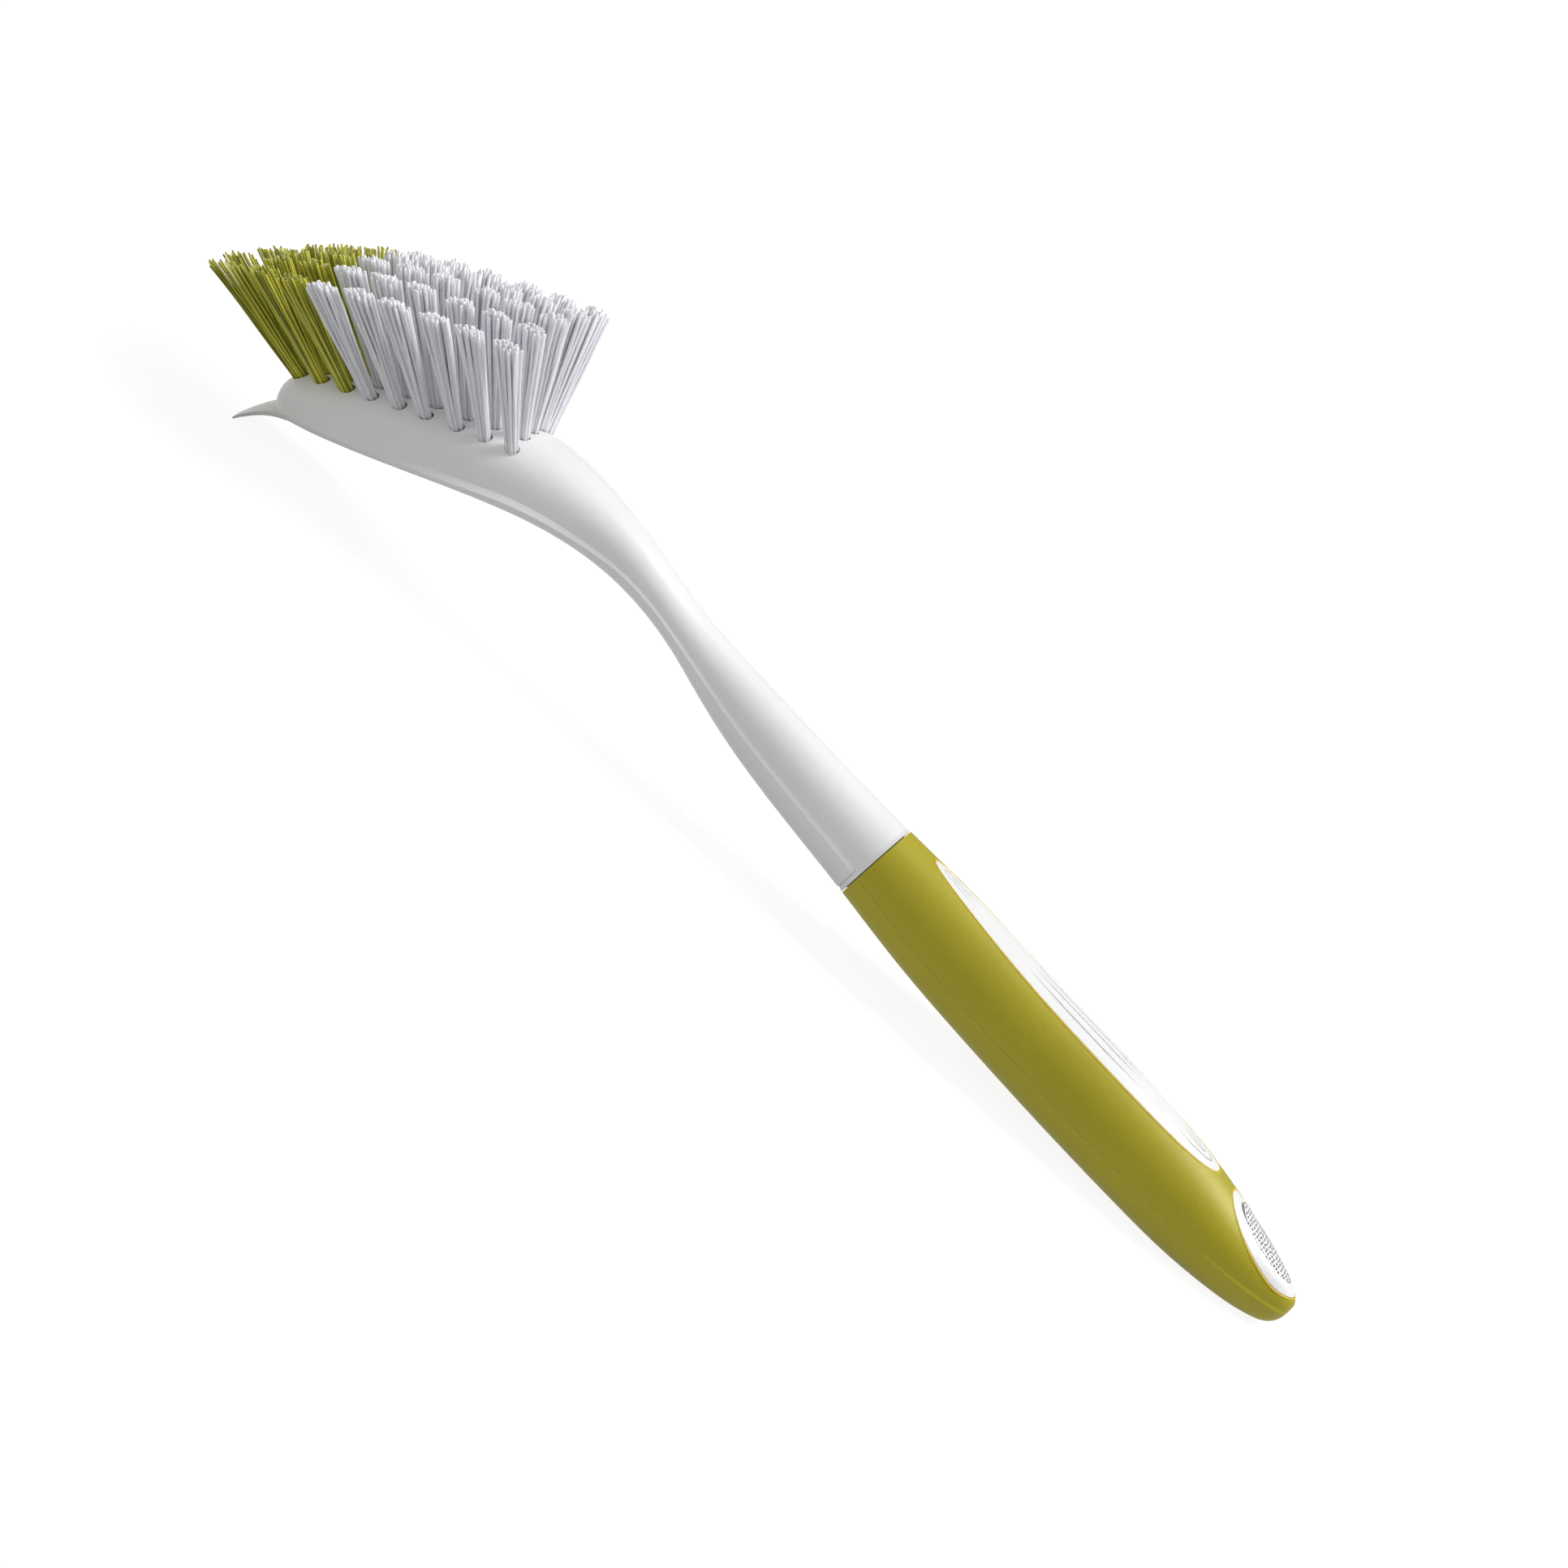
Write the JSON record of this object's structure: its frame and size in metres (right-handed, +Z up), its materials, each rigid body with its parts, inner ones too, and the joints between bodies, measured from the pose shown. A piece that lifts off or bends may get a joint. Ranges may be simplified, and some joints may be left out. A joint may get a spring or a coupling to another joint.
{
  "type": "dish brush",
  "caption": "White dish brush with rows of green and white bristle tufts, a curved scraper at the nose and a lime soft grip.",
  "frame": {"origin": "On the floor, under the middle of the brush as it lies on its back with the bristles up.", "axes": "+X runs from the scraper to the tail of the handle, +Y across the brush, +Z up."},
  "size_m": [0.3118, 0.054, 0.0643],
  "materials": {
    "white_plastic": "satin",
    "lime_rubber": "soft, fine grain",
    "speckled_pad": "matte, dark dots in rows",
    "white_bristle": "satin",
    "green_bristle": "satin",
    "anchor_wire": "drawn wire"
  },
  "bodies": {
    "root": {"body": "white_plastic", "grip": "lime_rubber", "end_pad": "speckled_pad", "tuft_anchors": "anchor_wire", "green_tuft_row1_2": "green_bristle", "green_tuft_row1_3": "green_bristle", "green_tuft_row2_1": "green_bristle", "green_tuft_row2_2": "green_bristle", "green_tuft_row2_3": "green_bristle", "green_tuft_row3_1": "green_bristle", "green_tuft_row3_2": "green_bristle", "green_tuft_row3_3": "green_bristle", "green_tuft_row4_1": "green_bristle", "green_tuft_row4_2": "green_bristle", "green_tuft_row4_3": "green_bristle", "green_tuft_row5_2": "green_bristle", "green_tuft_row5_3": "green_bristle", "white_tuft_row1_4": "white_bristle", "white_tuft_row1_5": "white_bristle", "white_tuft_row1_6": "white_bristle", "white_tuft_row1_7": "white_bristle", "white_tuft_row1_8": "white_bristle", "white_tuft_row1_9": "white_bristle", "white_tuft_row2_4": "white_bristle", "white_tuft_row2_5": "white_bristle", "white_tuft_row2_6": "white_bristle", "white_tuft_row2_7": "white_bristle", "white_tuft_row2_8": "white_bristle", "white_tuft_row2_9": "white_bristle", "white_tuft_row3_4": "white_bristle", "white_tuft_row3_5": "white_bristle", "white_tuft_row3_6": "white_bristle", "white_tuft_row3_7": "white_bristle", "white_tuft_row3_8": "white_bristle", "white_tuft_row3_9": "white_bristle", "white_tuft_row4_4": "white_bristle", "white_tuft_row4_5": "white_bristle", "white_tuft_row4_6": "white_bristle", "white_tuft_row4_7": "white_bristle", "white_tuft_row4_8": "white_bristle", "white_tuft_row4_9": "white_bristle", "white_tuft_row5_4": "white_bristle", "white_tuft_row5_5": "white_bristle", "white_tuft_row5_6": "white_bristle", "white_tuft_row5_7": "white_bristle", "white_tuft_row5_8": "white_bristle", "white_tuft_row5_9": "white_bristle"}
  },
  "joints": []
}
